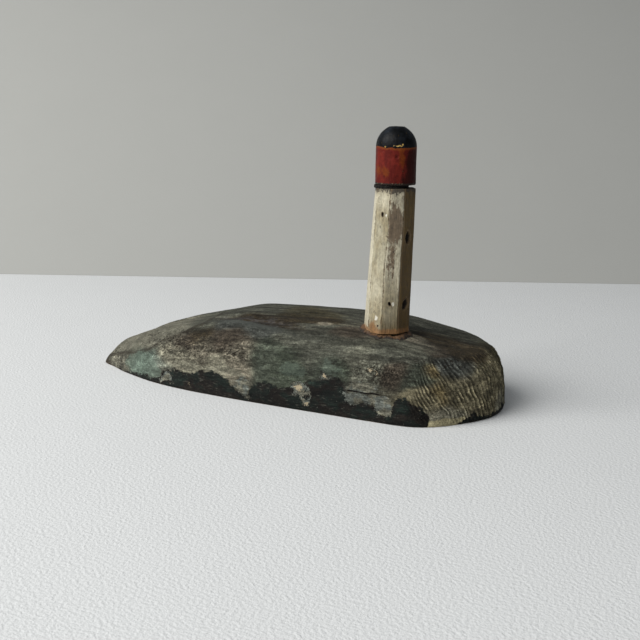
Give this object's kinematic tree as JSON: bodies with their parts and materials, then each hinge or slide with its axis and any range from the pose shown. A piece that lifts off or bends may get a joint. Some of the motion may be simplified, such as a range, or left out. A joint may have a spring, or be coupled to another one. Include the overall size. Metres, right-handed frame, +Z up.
{
  "type": "model lighthouse",
  "caption": "Whittled and painted wooden lighthouse with a red lantern, standing on a long carved block of rocky headland.",
  "frame": {"origin": "on the ground under the middle of the headland's length and width", "axes": "+X along the headland from its pointed end to its blunt end, -Y the front, +Z up"},
  "size_m": [0.262, 0.1036, 0.1546],
  "materials": {
    "island_paint": "worn layered paint in dark green, cream, teal and near black over carved softwood",
    "tower_paint": "aged cream paint rubbed down to grey wood",
    "disc_black": "matt black with a ragged edge",
    "lantern_paint": "glossy oxblood red worn to amber, with a satin blue-black cap",
    "bare_wood": "bare",
    "screw_steel": "dull",
    "old_glue": "rust-brown crust of old hide glue"
  },
  "bodies": {
    "root": {"island": "island_paint", "tower": "tower_paint", "gallery_disc": "disc_black", "lantern": "lantern_paint", "lantern_peg": "bare_wood", "tower_screw": "screw_steel", "foot_glue": "old_glue"}
  },
  "joints": []
}
